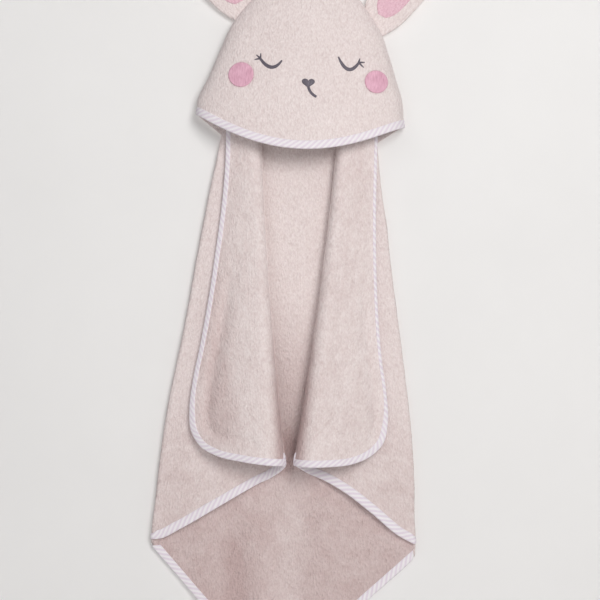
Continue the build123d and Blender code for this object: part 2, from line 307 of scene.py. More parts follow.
def distance_to(line, points):
    """Distance from each flat point to a line of closely spaced points."""
    tree = kdtree.KDTree(len(line))
    for i, (x, y) in enumerate(line):
        tree.insert((x, y, 0), i)
    tree.balance()
    return np.array([tree.find((x, y, 0))[2] for x, y in points])


# ---- meshes ----


def fill(outline, step):
    """Triangles over a flat outline: its own points, and a hexagonal pattern inside."""
    outline = np.array(outline, float)
    following = np.roll(outline, -1, axis=0)
    low, high = outline.min(0), outline.max(0)
    inner = []
    for row, y in enumerate(np.arange(low[1] + step / 2, high[1], step * math.sqrt(3) / 2)):
        crossed = (outline[:, 1] <= y) != (following[:, 1] <= y)
        a, b = outline[crossed], following[crossed]
        cuts = np.sort(a[:, 0] + (y - a[:, 1]) / (b[:, 1] - a[:, 1]) * (b[:, 0] - a[:, 0]))
        x = np.arange(low[0] + (row % 2) * step / 2, high[0], step)
        x = x[np.searchsorted(cuts, x) % 2 == 1]
        inner.append(columns(x, np.full(len(x), y)))
    inner = np.concatenate(inner)
    inner = inner[distance_to(outline, inner) > 0.6 * step]
    count = len(outline)
    edges = [(i, (i + 1) % count) for i in range(count)]
    every = [Vector(p) for p in np.concatenate([outline, inner])]
    result = delaunay_2d_cdt(every, edges, [], CDT_INSIDE, CDT_CLOSE)
    points, faces = np.array(result[0]), np.array(result[2])
    a, b, c = points[faces[:, 0]], points[faces[:, 1]], points[faces[:, 2]]
    turned = (b[:, 0] - a[:, 0]) * (c[:, 1] - a[:, 1]) < (b[:, 1] - a[:, 1]) * (c[:, 0] - a[:, 0])
    faces[turned] = faces[turned][:, ::-1]
    return points, faces


def rim_of(faces):
    """The directed edges that only one triangle uses."""
    edges = np.concatenate([faces[:, [0, 1]], faces[:, [1, 2]], faces[:, [2, 0]]])
    size = faces.max() + 1
    key = edges[:, 0] * size + edges[:, 1]
    back = edges[:, 1] * size + edges[:, 0]
    return edges[~np.isin(key, back)]


def normals_of(surface, points, reach=0.4):
    """Unit normals of a surface given as a function of flat points. They face the front."""
    du = surface(points + [reach, 0]) - surface(points - [reach, 0])
    dv = surface(points + [0, reach]) - surface(points - [0, reach])
    return unit(np.cross(du, dv))


def add_object(name, data):
    """A new object in the scene."""
    made = bpy.data.objects.new(name, data)
    bpy.context.scene.collection.objects.link(made)
    return made


def make_object(name, points, faces, uv, material, side=1, sharp=None, shade_and_streaks=None):
    """A smooth-shaded mesh object from points in millimetres. The left side is mirrored."""
    points = np.array(points, float) * MM
    if side < 0:
        points = points * [-1, 1, 1]
        faces = [tuple(reversed(face)) for face in faces]
    mesh = bpy.data.meshes.new(name)
    mesh.from_pydata([tuple(p) for p in points], [], [tuple(int(i) for i in f) for f in faces])
    mesh.polygons.foreach_set("use_smooth", np.ones(len(mesh.polygons), bool))
    corner = np.zeros(len(mesh.loops), np.int32)
    mesh.loops.foreach_get("vertex_index", corner)
    layer = mesh.uv_layers.new(name="cloth")
    layer.data.foreach_set("uv", (np.array(uv)[corner] * MM).astype(np.float32).ravel())
    if sharp is not None:
        ends = np.zeros(len(mesh.edges) * 2, np.int32)
        mesh.edges.foreach_get("vertices", ends)
        ends = np.sort(ends.reshape(-1, 2), axis=1)
        wanted = np.sort(np.array(sharp), axis=1)
        size = len(points)
        mark = np.isin(ends[:, 0] * size + ends[:, 1], wanted[:, 0] * size + wanted[:, 1])
        mesh.attributes.new("sharp_edge", "BOOLEAN", "EDGE").data.foreach_set("value", mark)
    mesh.materials.append(material)
    # painted shade per point, with random streaks, for the terry's colour
    if shade_and_streaks is not None:
        mesh.attributes.new("shade_and_streaks", "FLOAT", "POINT").data.foreach_set("value", shade_and_streaks.astype(np.float32))
    mesh.update()
    return add_object(name, mesh)


def cloth(
    name, outline, surface, material, side=1, step=STEP, half=HALF_TERRY, rounding=0, pile=1.0,
    press=None, shade_and_streaks=None, rear_shade=None,
):
    """A closed sheet: a front and a back layer either side of a surface, joined round their rim.

    press is how far the front is pushed in. The function after it paints shade on the front, from 0 to 1,
    with random streaks of the pile: it deepens the colour and the relief. The last one paints shade on the
    back.
    """
    flat, faces = fill(outline, step)
    middle = surface(flat)
    normal = normals_of(surface, flat)
    lift = np.full(len(flat), float(half))
    if rounding:
        inside = np.clip(distance_to(outline, flat) / rounding, 0, 1)
        lift *= np.maximum(THINNEST_RIM, np.sqrt(1 - (1 - inside) ** 2))
    front = lift + pile * lumps(flat, PILE)
    back = lift + pile * lumps(flat + REAR_PILE_SHIFT, PILE)
    if press is not None:
        front = front - press(flat)
    count = len(flat)
    points = np.concatenate([middle + normal * front[:, None], middle - normal * back[:, None]])
    rim = rim_of(faces)
    sides = columns(rim[:, 1], rim[:, 0], rim[:, 0] + count, rim[:, 1] + count)
    every = [*faces, *(faces[:, ::-1] + count), *sides]
    sharp = None if rounding else np.concatenate([rim, rim + count])
    # painted shade, with random streaks, for the front and the back layer
    all_shade_and_streaks = None
    if shade_and_streaks is not None:
        behind = np.zeros(count) if rear_shade is None else rear_shade(flat)
        all_shade_and_streaks = np.clip(np.concatenate([shade_and_streaks(flat), behind]), 0, 1)
    made = make_object(name, points, every, np.concatenate([flat, flat]), material, side, sharp, all_shade_and_streaks)
    a, b, c = flat[faces[:, 0]], flat[faces[:, 1]], flat[faces[:, 2]]
    size = flat.max(0) - flat.min(0)
    made["flat"] = [size[0] * MM, size[1] * MM, np.cross(b - a, c - a).sum() / 2 * MM * MM]
    return made


def make_tube(name, lines, uv, material, side=1):
    """A closed tube with flat ends, from the lines that run along it."""
    points = np.stack(lines, axis=1).reshape(-1, 3)
    count, around = len(lines[0]), len(lines)
    faces = []
    for i in range(count - 1):
        for j in range(around):
            k = (j + 1) % around
            faces.append((i * around + j, i * around + k, (i + 1) * around + k, (i + 1) * around + j))
    faces.append(tuple(reversed(range(around))))
    faces.append(tuple(range((count - 1) * around, count * around)))
    made = make_object(name, points, faces, uv, material, side)
    orient_outwards(made)
    return made


def tape(name, edge, inward, surface, width, side=1, seed=0):
    """Bias tape folded over an edge: along the front, round the edge and along the rear."""
    length = lengths_along(edge)
    wander = noise(columns(length, length * 0), 40, seed) * 3
    pucker = PUCKER * np.sin(length * 2 * math.pi / PUCKER_PITCH + wander)
    width = width * np.ones(len(edge))
    front, back = [], []
    for part, out in TAPE_PROFILE:
        flat = edge + inward * (width * part)[:, None]
        middle, normal = surface(flat), normals_of(surface, flat)
        height = HALF_TERRY + TAPE_PROUD * out + pucker * (part > 0) * (out > 0)
        front.append(middle + normal * height[:, None])
        back.append(middle - normal * height[:, None])
    middle, normal = surface(edge), normals_of(surface, edge)
    into = surface(edge + inward) - middle
    into = unit(into - normal * (into * normal).sum(1)[:, None])
    radius = HALF_TERRY + TAPE_PROUD
    turn = []
    for angle in np.radians(TAPE_TURN):
        turn.append(middle + (normal * math.cos(angle) - into * TAPE_TURN_SHAPE * math.sin(angle)) * radius)
    way = directions(edge)
    hand = side * np.sign(np.median(way[:, 0] * inward[:, 1] - way[:, 1] * inward[:, 0]))
    over = [width * part for part, _ in TAPE_PROFILE]
    v = over + [0 * width - radius * angle / 180 for angle in TAPE_TURN]
    v += [-row - 2 * radius for row in over[::-1]]
    shear = (inward * way).sum(1)
    along = [length + shear * np.maximum(row, 0) for row in v]
    uv = columns(np.stack(along, axis=1).ravel(), hand * np.stack(v, axis=1).ravel())
    return make_tube(name, front + turn + back[::-1], uv, TAPE, side)


def mitred(edge, inward, start, end):
    """Inward directions sheared near the ends, so that a tape's ends lie along the given directions."""
    way = directions(edge)
    length = lengths_along(edge)
    made = inward.copy()
    for wanted, index, away in ((start, 0, length), (end, -1, length[-1] - length)):
        slant = np.dot(wanted, way[index]) / np.dot(wanted, inward[index])
        made += way * (slant * (1 - ease(away, 0, MITRE_REACH)))[:, None]
    return made


def orient_outwards(made):
    """Turns every face of a closed mesh outwards."""
    work = bmesh.new()
    work.from_mesh(made.data)
    bmesh.ops.recalc_face_normals(work, faces=work.faces)
    work.to_mesh(made.data)
    work.free()


def inward_of(edge, inside):
    """Unit flat directions square to an edge, on the side where the point inside lies."""
    way = directions(edge)
    square = columns(-way[:, 1], way[:, 0])
    towards = ((np.array(inside) - edge) * square).sum(1)
    return square * (1 if np.median(towards) > 0 else -1)


# ---- materials ----


def plug(tree, made, inputs):
    """Sets a node's inputs to values or links them to other nodes' sockets."""
    for key, value in inputs.items():
        if isinstance(value, bpy.types.NodeSocket):
            tree.links.new(value, made.inputs[key])
        else:
            made.inputs[key].default_value = value


def node(tree, kind, inputs, **settings):
    """A new node with its settings and inputs."""
    made = tree.nodes.new(kind)
    for key, value in settings.items():
        setattr(made, key, value)
    plug(tree, made, inputs)
    return made


def ramp(tree, factor, stops):
    """A colour ramp with (place, colour) stops."""
    made = node(tree, "ShaderNodeValToRGB", {"Fac": factor})
    elements = made.color_ramp.elements
    while len(elements) < len(stops):
        elements.new(0.5)
    for element, (place, colour) in zip(elements, stops):
        element.position = place
        element.color = (*colour, 1)
    return made.outputs["Color"]


def cloth_coordinates(tree, scale=(1, 1, 1), turn=0.0):
    """The cloth's own flat coordinates in metres, stretched and turned."""
    source = node(tree, "ShaderNodeUVMap", {}, uv_map="cloth").outputs["UV"]
    inputs = {"Vector": source, "Rotation": (0, 0, turn), "Scale": scale}
    return node(tree, "ShaderNodeMapping", inputs).outputs["Vector"]


def texture(tree, vector, scale, detail=2.0, roughness=0.5):
    inputs = {"Vector": vector, "Scale": scale, "Detail": detail, "Roughness": roughness}
    return node(tree, "ShaderNodeTexNoise", inputs, noise_dimensions="3D").outputs["Fac"]


def sum_of(tree, *terms):
    """Adds (socket, factor) terms."""
    total = 0.0
    for socket, factor in terms:
        inputs = {0: socket, 1: factor, 2: total}
        total = node(tree, "ShaderNodeMath", inputs, operation="MULTIPLY_ADD").outputs[0]
    return total


def map_range(tree, value, ends, **settings):
    """A value moved from one range to another. The ends that are not given are 0 and 1."""
    return node(tree, "ShaderNodeMapRange", {"Value": value, **ends}, **settings).outputs["Result"]


def multiply(tree, factor, colour, tint):
    """One colour multiplied by another, as far as the factor says."""
    inputs = {0: factor, 6: colour, 7: tint}
    return node(tree, "ShaderNodeMix", inputs, data_type="RGBA", blend_type="MULTIPLY").outputs[2]


def new_material(name, roughness, sheen=0.0, sheen_roughness=0.5, specular=0.3):
    """A material and its shader, with the values that are the same all over set on the shader."""
    material = bpy.data.materials.new(name)
    material.use_nodes = True
    tree = material.node_tree
    shader = tree.nodes["Principled BSDF"]
    plug(tree, shader, {"Roughness": roughness, "Specular IOR Level": specular})
    plug(tree, shader, {"Sheen Weight": sheen, "Sheen Roughness": sheen_roughness})
    return material, tree, shader


def dress(tree, shader, colour, height, strength, distance):
    """Gives a shader its colour, and its relief from a height."""
    relief = node(tree, "ShaderNodeBump", {"Height": height, "Strength": strength, "Distance": distance})
    plug(tree, shader, {"Base Color": colour, "Normal": relief.outputs["Normal"]})


def terry_material(name, dark, light, loop=0.0020):
    """Cut-loop terry: small tufts and short streaks of nap, with painted shade multiplied in where the mesh
    asks for it.
    """
    material, tree, shader = new_material(name, 0.95, 0.25, 0.6, 0.15)
    grain = cloth_coordinates(tree, (1.0, 0.6, 1.0), 0.5)
    plain = cloth_coordinates(tree)
    inputs = {"Vector": grain, "Scale": 1 / loop, "Randomness": 1.0}
    tufts = node(tree, "ShaderNodeTexVoronoi", inputs, feature="SMOOTH_F1").outputs["Distance"]
    fuzz = texture(tree, grain, 620, 3, 0.6)
    nap = texture(tree, cloth_coordinates(tree, (1.0, 0.3, 1.0), -0.18), 430, 3, 0.6)
    clumps = texture(tree, plain, 190, 3, 0.6)
    patches = texture(tree, plain, 26, 3, 0.6)
    broad = texture(tree, plain, 7, 2, 0.5)
    tone = sum_of(
        tree, (tufts, -0.50), (fuzz, 0.48), (nap, 0.60), (clumps, 0.27), (patches, 0.18), (broad, 0.14)
    )
    place = map_range(tree, tone, {"From Min": 0.34, "From Max": 0.90})
    colour = ramp(tree, place, [(0.0, dark), (1.0, light)])
    # the mesh's painted shade per point, with random streaks: it multiplies the colour by the shade tint and
    # strengthens the relief
    shade_amount = node(tree, "ShaderNodeAttribute", {}, attribute_name="shade_and_streaks").outputs["Fac"]
    height = sum_of(tree, (tufts, -1.0), (fuzz, 0.6), (nap, 1.3), (clumps, 0.6))
    strength = map_range(tree, shade_amount, {"To Min": 0.55, "To Max": 1.0})
    dress(tree, shader, multiply(tree, shade_amount, colour, SHADE_TINT), height, strength, 0.0019)
    return material


def tape_material(name, pale, lilac, period=0.0056):
    """Fine cotton tape cut on the bias: slanting candy stripes over a plain weave."""
    material, tree, shader = new_material(name, 0.75, 0.1, 0.4, 0.25)
    slant = cloth_coordinates(tree, (1 / period, 1 / period, 1), math.radians(52))
    wobble = texture(tree, cloth_coordinates(tree), 60, 2, 0.5)
    split = node(tree, "ShaderNodeSeparateXYZ", {"Vector": slant}).outputs["X"]
    phase = sum_of(tree, (split, 2 * math.pi), (wobble, 0.7 * math.pi))
    wave = node(tree, "ShaderNodeMath", {0: phase}, operation="SINE").outputs[0]
    place = map_range(tree, wave, {"From Min": -0.8, "From Max": 0.8}, interpolation_type="SMOOTHSTEP")
    stripes = ramp(tree, place, [(0.0, lilac), (1.0, pale)])
    weave = texture(tree, slant, 22, 2, 0.7)
    shaded = ramp(tree, weave, [(0.3, (0.92, 0.92, 0.92)), (0.7, (1.0, 1.0, 1.0))])
    height = sum_of(tree, (weave, 0.6), (wave, 0.12))
    dress(tree, shader, multiply(tree, 1.0, stripes, shaded), height, 0.35, 0.0005)
    return material


def thread_material(name, dark, light, scale=900.0, stretch=0.12, turn=0.0, roughness=0.45):
    """Satin stitch or a napped lining: fine streaks along the threads."""
    material, tree, shader = new_material(name, roughness, 0.15, 0.35, 0.35)
    streaks = texture(tree, cloth_coordinates(tree, (1.0, stretch, 1.0), turn), scale, 2, 0.6)
    broad = texture(tree, cloth_coordinates(tree), 90, 2, 0.5)
    colour = ramp(tree, sum_of(tree, (streaks, 0.8), (broad, 0.35)), [(0.35, dark), (0.8, light)])
    dress(tree, shader, colour, streaks, 0.4, 0.0004)
    return material


SHADE_TINT = (0.75, 0.635, 0.63, 1)  # what the terry's colour is multiplied by where shade is painted

TERRY = terry_material("terry", (0.765, 0.65, 0.635), (0.955, 0.865, 0.85))
TAPE = tape_material("bias_tape", (0.955, 0.915, 0.945), (0.85, 0.765, 0.845))
EAR_PINK = terry_material("ear_pink", (0.76, 0.45, 0.54), (0.94, 0.66, 0.74), 0.0014)
CHEEK_PINK = thread_material("cheek_pink", (0.64, 0.31, 0.42), (0.90, 0.56, 0.68), 700.0, 0.15, 0.6, 0.7)
DARK_THREAD = thread_material("dark_thread", (0.055, 0.045, 0.062), (0.20, 0.175, 0.215))
LABEL_TAPE = thread_material("label_tape", (0.62, 0.61, 0.60), (0.88, 0.88, 0.87), 1500.0, 0.4)


# ---- lines of the folds ----


def joint_line(name, side):
    """x and y of a joint's axis as functions of the height, with x growing outwards."""
    place = np.array(joints[name]["pos_m"]) / MM
    way = np.array(joints[name]["axis"])

    def at(z):
        t = (z - place[2]) / way[2]
        return side * (place[0] + way[0] * t), place[1] + way[1] * t

    return at


class Fold:
    """The crease and the roll on one side, as functions of the height."""

    def __init__(self, name):
        side = SIDES[name]
        self.hinge = joint_line(f"{name}_wing_open", side)
        self.axis = joint_line(f"{name}_turnback_lift", side)
        self.bulge = curve_through(CREASE_BULGE[name])

    def crease(self, z):
        """Centre x, half width and half depth of the soft fold at the crease."""
        stands_out = self.bulge(z) - HALF_TERRY - 0.3
        wide = np.maximum(stands_out, THINNEST_FOLD)
        return self.hinge(z)[0] + stands_out - wide, wide, FOLD_HALF_DEPTH + 0.12 * wide

    def roll(self, z):
        """Centre and middle radius of the roll."""
        x, y = self.axis(z)
        top, bottom = ROLL_ENDS
        t = np.clip((z - top) / (bottom - top), 0, 1)
        return x, y, -y - ROLL_CLEARANCE - HALF_TERRY - ROLL_BOW * np.sin(math.pi * t) ** 0.8

    def bead_length(self, z):
        """Length of the wing's cloth round the crease, from its front to where it tucks in."""
        _, wide, deep = self.crease(z)
        return math.radians(90 + FOLD_END) * np.sqrt((wide**2 + deep**2) / 2)

    def panel_span(self, z):
        """Width of the wing's flat part, from the crease to the roll."""
        return self.crease(z)[0] - self.roll(z)[0]

    def hem_length(self, z):
        """Length of the back panel's cloth as it curls forward at the crease."""
        wide = self.crease(z)[1]
        return math.radians(HEM_TURN) * np.sqrt((wide**2 + FOLD_HALF_DEPTH**2) / 2)


FOLDS = {name: Fold(name) for name in SIDES}


def stands_for(piece, cad, slot):
    """Hides the piece of the CAD model that this one replaces; the material slot is not used."""
    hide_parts(cad)


def blend_down(piece):
    """Bakes the piece's transform into its mesh."""
    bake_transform(piece)


# ---- back panel ----

CORNER_WAVES = ((8.5, -26, 0.1, 24), (4.0, 66, 0, 28), (3.0, -104, 0, 22))  # depth, x, slant, width
CREASE_Y = HALF_TERRY - FOLD_HALF_DEPTH

head_width = curve_through([(z, w) for z, w, _ in HOOD_STATIONS])
head_depth = curve_through([(z, d) for z, _, d in HOOD_STATIONS])


def side_width(z, side):
    """Half width of the hood on one side, or on each point's own side."""
    z, side = np.asarray(z, float), np.asarray(side)
    left_swell = HOOD_SWELL * bump(z, -251, 20)
    right_draw = HOOD_SWELL * ease(z, -235, HOOD_CORNER[1])
    return head_width(z) + np.where(side < 0, left_swell, -right_draw)


def bottom_z(name, x):
    """Height of the bottom edge at a distance from the middle."""
    end_x = FOLDS[name].hinge(CREASE_END_Z)[0]
    slope = (CREASE_END_Z - CORNER_Z) / end_x
    return CORNER_Z + slope * np.sqrt(x**2 + (CORNER_ROUNDING / slope) ** 2)


def back_surface(points):
    """Flat against the wall, curled forward at the creases, with soft waves towards the bottom."""
    x, z = points.T
    y = np.full(len(x), float(HALF_TERRY))
    low = ease(z, -760, -900) * (1 - ease(z, -985, -1035))  # the bottom corner, short of its edge
    for depth, middle, slant, width in CORNER_WAVES:
        y -= depth * low * bump(x, middle - slant * (z + 900), width)
    ridge = bump(x, 8, 24) * ease(z, -300, -420) * ease(z, -780, -600)
    y -= 1.2 * ridge
    y += 0.35 * waves(points)
    for name, side in SIDES.items():
        fold = FOLDS[name]
        centre, wide = fold.crease(z)[:2]
        out = side * x - centre
        folded = (z < NECK_Z) & (z > CREASE_END_Z) & (out > 0)
        angle = np.radians(90 - HEM_TURN * np.clip(out / fold.hem_length(z), 0, 1.05))
        x, y = curl(x, y, folded, (side * centre, CREASE_Y), (side * wide, FOLD_HALF_DEPTH), angle)
    return columns(x, y, z)


def back_shade_and_streaks(points):
    """Painted shade over the bottom corner with random streaks, deeper on its wave's left flank and less
    right of the middle, a painted shadow in the slot between the rolls, and painted shade low in the
    channel.
    """
    x, z = points.T
    # painted shade over the bottom corner, where less light falls
    corner = ease(z, -700, -790)
    # painted shade down the left flank of the corner's wave, and less painted shade right of the middle
    wave = 0.35 * bump(x, -62 - 0.1 * (z + 900), 17) * ease(z, -840, -900) - 0.25 * bump(x, 12, 30)
    streaks = 0.16 * lumps(points, BACK_STREAKS)
    # painted shadow in the slot where the two rolls nearly meet
    slot = 0.9 * bump(x, 4, 12) * bump(z, -742, 30)
    # painted shade in the lower end of the channel, above the corner
    return slot + corner * (0.72 + wave + streaks) + 0.44 * ease(z, -510, -680) * (1 - corner)


def back_side(name, step):
    """One side of the back panel's outline, from the top seam down to the bottom edge."""
    fold, side = FOLDS[name], SIDES[name]
    corner_z = float(mouth_z(side * HOOD_CORNER[0]))
    head = upright(lambda z: side_width(z, side), HEAD_TOP_Z, corner_z, 120)
    neck = spaced([head[-1], (fold.crease(NECK_Z)[0], NECK_Z)], step)
    crease = upright(lambda z: fold.crease(z)[0] + fold.hem_length(z), NECK_Z - 1, CREASE_END_Z + 1, 300)
    return spaced(np.concatenate([head, neck[1:], crease]), step)


def bottom_edge(step):
    """The bottom edge from the left crease to the right one."""
    left_end, right_end = (FOLDS[name].crease(CREASE_END_Z)[0] for name in SIDES)
    x = np.linspace(-left_end, right_end, 400)
    z = np.where(x < 0, bottom_z("left", -x), bottom_z("right", x))
    return spaced(columns(x, z), step)


def make_back():
    right, left = back_side("right", BACK_STEP), back_side("left", BACK_STEP) * [-1, 1]
    outline = np.concatenate([right, bottom_edge(BACK_STEP)[::-1][1:-1], left[::-1]])
    panel = cloth("back_panel_cloth", outline, back_surface, TERRY, step=BACK_STEP, shade_and_streaks=back_shade_and_streaks)
    edge = bottom_edge(TAPE_STEP)
    inward = mitred(edge, inward_of(edge, (0, -900)), *BOTTOM_TAPE_ENDS)
    strip = tape("bottom_tape", edge, inward, back_surface, BOTTOM_TAPE_WIDTH, seed=1)
    for piece, cad, slot in ((panel, "back_panel", "terry"), (strip, "bottom_binding", "bias_tape")):
        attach(piece, "towel")
        stands_for(piece, cad, slot)
    return panel, [strip]


# ---- wings ----

SLOT_SHADE, SLOT_Z = 0.85, (-480, -700)  # painted shade on the rolls, where they face each other


def wing_surface(name):
    """The folded-in side: round the crease, flat, then a quarter turn into the roll."""
    fold = FOLDS[name]
    edge = smooth_line(WING_EDGE[name], 4.0)

    def surface(points):
        s, z = points.T
        centre, wide, deep = fold.crease(z)
        roll_x, roll_y, radius = fold.roll(z)
        span = centre - roll_x
        front_y, rear_y = CREASE_Y - deep, roll_y + radius
        t = ease(-s, 0, span)
        x = centre + np.maximum(s, -span)
        y = front_y + (rear_y - front_y) * t
        above = z - np.interp(-x, -edge[:, 0], edge[:, 1])  # the bottom edge
        middle_part = np.clip(t * (1 - t) * 4, 0, 1)
        belly = 6.0 * np.exp(-np.maximum(above, 0) / 40) + 1.2
        ridge = 2.0 * bump(s, -26, 16) * ease(z, -420, -620)
        y += middle_part * (0.5 * waves(points, 900) - belly - ridge)
        angle = np.clip(s, 0, None) / np.sqrt((wide**2 + deep**2) / 2) - QUARTER
        tuck = 1 - 0.30 * ease(np.degrees(angle), -5, FOLD_END)
        x, y = curl(x, y, s > 0, (centre, CREASE_Y), (wide * tuck, deep * tuck), angle)
        angle = QUARTER + np.clip(-s - span, 0, None) / radius
        x, y = curl(x, y, s < -span, (roll_x, roll_y), (radius, radius), angle)
        return columns(x, y, z)

    return surface


def wing_shade_and_streaks(points):
    """Painted shade on the folded-in side, deeper towards its bottom edge, with random streaks all over."""
    streaks = 0.14 * lumps(points + 40, WING_STREAKS)
    return ease(points[:, 1], -640, -800) * (0.28 + streaks) + 0.06 + 0.5 * streaks


def wing_slot_shade(name):
    """Painted shade on the folded-in side's rear, where it shows in the slot between the two rolls."""
    fold = FOLDS[name]

    def shade_and_streaks(points):
        s, z = points.T
        return SLOT_SHADE * ease(-s - fold.panel_span(z), -4, 4) * ease(z, *SLOT_Z)

    return shade_and_streaks


def wing_bottom(name, step):
    """The wing's bottom edge in flat cloth coordinates, from behind the crease to the roll."""
    fold = FOLDS[name]
    line = smooth_line(WING_EDGE[name], 1.0)
    centre, roll_x = fold.crease(line[:, 1])[0], fold.roll(line[:, 1])[0]
    flat = line[(line[:, 0] > roll_x) & (line[:, 0] < centre)]
    points = [(x - fold.crease(z)[0], z) for x, z in flat]
    start_z, end_z = flat[0][1], flat[-1][1]
    bead = [(s, start_z) for s in np.linspace(fold.bead_length(start_z), 0.5, 12)]
    span, radius = fold.panel_span(end_z), fold.roll(end_z)[2]
    turn = []
    for share in np.linspace(0.05 / QUARTER, 1, 30):
        turn.append((-span - radius * QUARTER * share, end_z + (ROLL_BOTTOM_Z - end_z) * share))
    return spaced(bead + points + turn, step)


def make_wing(name):
    fold, side = FOLDS[name], SIDES[name]
    surface = wing_surface(name)
    bottom = wing_bottom(name, STEP)
    roll_side = upright(lambda z: -fold.panel_span(z) - fold.roll(z)[2] * QUARTER, bottom[-1][1], TOP_Z, 240)
    top = level(roll_side[-1][0], fold.bead_length(TOP_Z), TOP_Z)
    crease_side = upright(fold.bead_length, TOP_Z, bottom[0][1], 240)
    around = [spaced(line, STEP)[:-1] for line in (roll_side, top, crease_side)]
    outline = np.concatenate([bottom[:-1]] + around)
    # painted shade on the rear, where the rolls face each other
    rear_shade = wing_slot_shade(name)
    panel = cloth(f"{name}_wing_cloth", outline, surface, TERRY, side, shade_and_streaks=wing_shade_and_streaks, rear_shade=rear_shade)
    edge = wing_bottom(name, TAPE_STEP)
    width = TAPE_WIDTH * (1 - 0.45 * ease(edge[:, 0], -9, 3))
    strip = tape(f"{name}_wing_tape", edge, inward_of(edge, (-60, -600)), surface, width, side, seed=2)
    for piece, cad, slot in ((panel, "panel", "terry"), (strip, "binding", "bias_tape")):
        stands_for(piece, f"{name}_side_{cad}", slot)
        blend_down(piece)
    return panel, [strip]


# ---- turned-back flaps ----

FLAP_START = math.radians(110)  # the flap's cloth starts this far round behind the roll's front
FLAP_INSET = 0.8  # its turn lies this far inside the wing's turn
FLAP_SHADE = {"left": (0.46, 74), "right": (0.10, 20)}  # painted shade on the flaps: strength, and distance from the roll
FLAP_LOW_Z = -700.0  # a cut below this height is the flap's own bottom edge
SAME_HEIGHT = 0.01


def flap_surface(name):
    """Round the roll from inside the wing's turn, then outwards to the free edge."""
    fold = FOLDS[name]
    edge = smooth_line(FLAP_EDGE[name], 4.0)
    side_part = edge[: int(np.argmax(edge[:, 0])) + 1]

    def surface(points):
        s, z = points.T
        roll_x, roll_y, radius = fold.roll(z)
        radius = radius - FLAP_INSET
        reach = np.interp(-z, -side_part[:, 1], side_part[:, 0]) - roll_x
        t = np.clip(s / reach, 0, 1.1)
        front_y = roll_y - radius
        edge_y = FLAP_EDGE_Y - 2.5 * ease(z, -620, -740)
        fall = 0.25 * t + 0.75 * t**1.7 * (1.45 - 0.45 * t)  # from the roll's front to the free edge
        y = front_y + (edge_y - front_y) * fall
        out = distance_to(edge, columns(np.clip(s, 0, None) + roll_x, z))
        y += shape_flap(name, s + roll_x, z, out) * ease(s, 0, 20)
        y += 0.4 * ease(s, 0, 15) * waves(points, 300)
        x, y = curl(roll_x + s, y, s < 0, (roll_x, roll_y), (radius, radius), 3 * QUARTER + s / radius)
        return columns(x, y, z)

    return surface


def shape_flap(name, x, z, out):
    """Soft dents of a flap that hangs: out is the distance from its free edge."""
    fade = ease(z, -470, -560)
    if name == "left":
        creases = 0.7 * lumps(columns(x * 2.4, z * 0.4), FLAP_CREASES)
        creases *= bump(x, 80, 22) * ease(z, -310, -350) * (1 - ease(z, -560, -640))
        dent = 5.8 * fade * bump(out, 25, 9) * ease(z, -748, -712)
        return creases + dent - 1.8 * fade * bump(out, 10, 9)
    return 4.0 * fade * bump(out, 17, 8) * ease(z, -745, -690) + 1.8 * fade * bump(out, 60, 20)


def flap_shade_and_streaks(name):
    """Painted shade along the left flap's outer half and a little on the right one near the roll, painted
    shade where the rolls face each other, and random streaks.
    """
    strength, where = FLAP_SHADE[name]

    def shade_and_streaks(points):
        s, z = points.T
        streaks = 0.16 * lumps(points * [1.6, 0.7] + 80, FLAP_STREAKS)
        # painted shade in a band along the flap
        band = bump(s, where - 8 * ease(z, -400, -700), 30)
        band *= ease(z, -290, -360) * ease(z, -750, -715)
        # painted shade on the cloth turned in behind the roll, where the rolls face each other
        inside = SLOT_SHADE * ease(-s, 4, 25) * ease(z, *SLOT_Z)
        return strength * band + 0.06 + streaks + inside

    return shade_and_streaks


def flap_outline(name, high, low, step):
    """The flap's outline between two heights, and its free edge from the top down."""
    fold = FOLDS[name]
    line = smooth_line(FLAP_EDGE[name], 1.0)
    z = line[:, 1]

    def start_of(z):
        return -FLAP_START * (fold.roll(z)[2] - FLAP_INSET)

    def edge_at(height):
        return np.interp(-height, -z, line[:, 0]) - fold.roll(height)[0], height

    free = line - columns(fold.roll(z)[0], 0 * z)
    free = free[(free[:, 0] > start_of(z)) & (z <= high + SAME_HEIGHT) & (z >= low - SAME_HEIGHT)]
    if free[0][1] < high - SAME_HEIGHT:
        free = np.concatenate([[edge_at(high)], free])
    if low > FLAP_LOW_Z:
        free = np.concatenate([free[free[:, 1] > low + 0.3], [edge_at(low)]])
    free = spaced(free, step)
    inner = upright(start_of, free[-1][1], high, 200)
    top = level(start_of(high), free[0][0], high)
    cut = level(free[-1][0], start_of(low), low) if low > FLAP_LOW_Z else []
    around = [spaced(part, step)[:-1] for part in (cut, inner, top) if part]
    return np.concatenate([free[:-1]] + around), free


def make_flap(name):
    side = SIDES[name]
    surface = flap_surface(name)
    turned = TURNED_TAPE_WIDTH[name]
    made = []
    for part, high, low in (("upper", TOP_Z, SPLIT_Z), ("lower", SPLIT_Z, -999.0)):
        outline = flap_outline(name, high, low, STEP)[0]
        panel = cloth(f"{name}_flap_cloth_{part}", outline, surface, TERRY, side, shade_and_streaks=flap_shade_and_streaks(name))
        edge = flap_outline(name, high, low, TAPE_STEP)[1]
        inward = inward_of(edge, (30, (high + max(low, -730)) / 2))
        width = turned + (FLAP_TAPE_WIDTH - turned) * ease(edge[:, 1], -650, -728)
        strip = tape(f"{name}_flap_tape_{part}", edge, inward, surface, width, side, seed=3)
        for piece, cad, slot in ((panel, "flap", "terry"), (strip, "flap_binding", "bias_tape")):
            stands_for(piece, f"{name}_{cad}", slot)
            if part == "upper":
                blend_down(piece)
            else:
                blend_down(piece)
        made.append((panel, [strip]))
    return made


# ---- hood and face ----

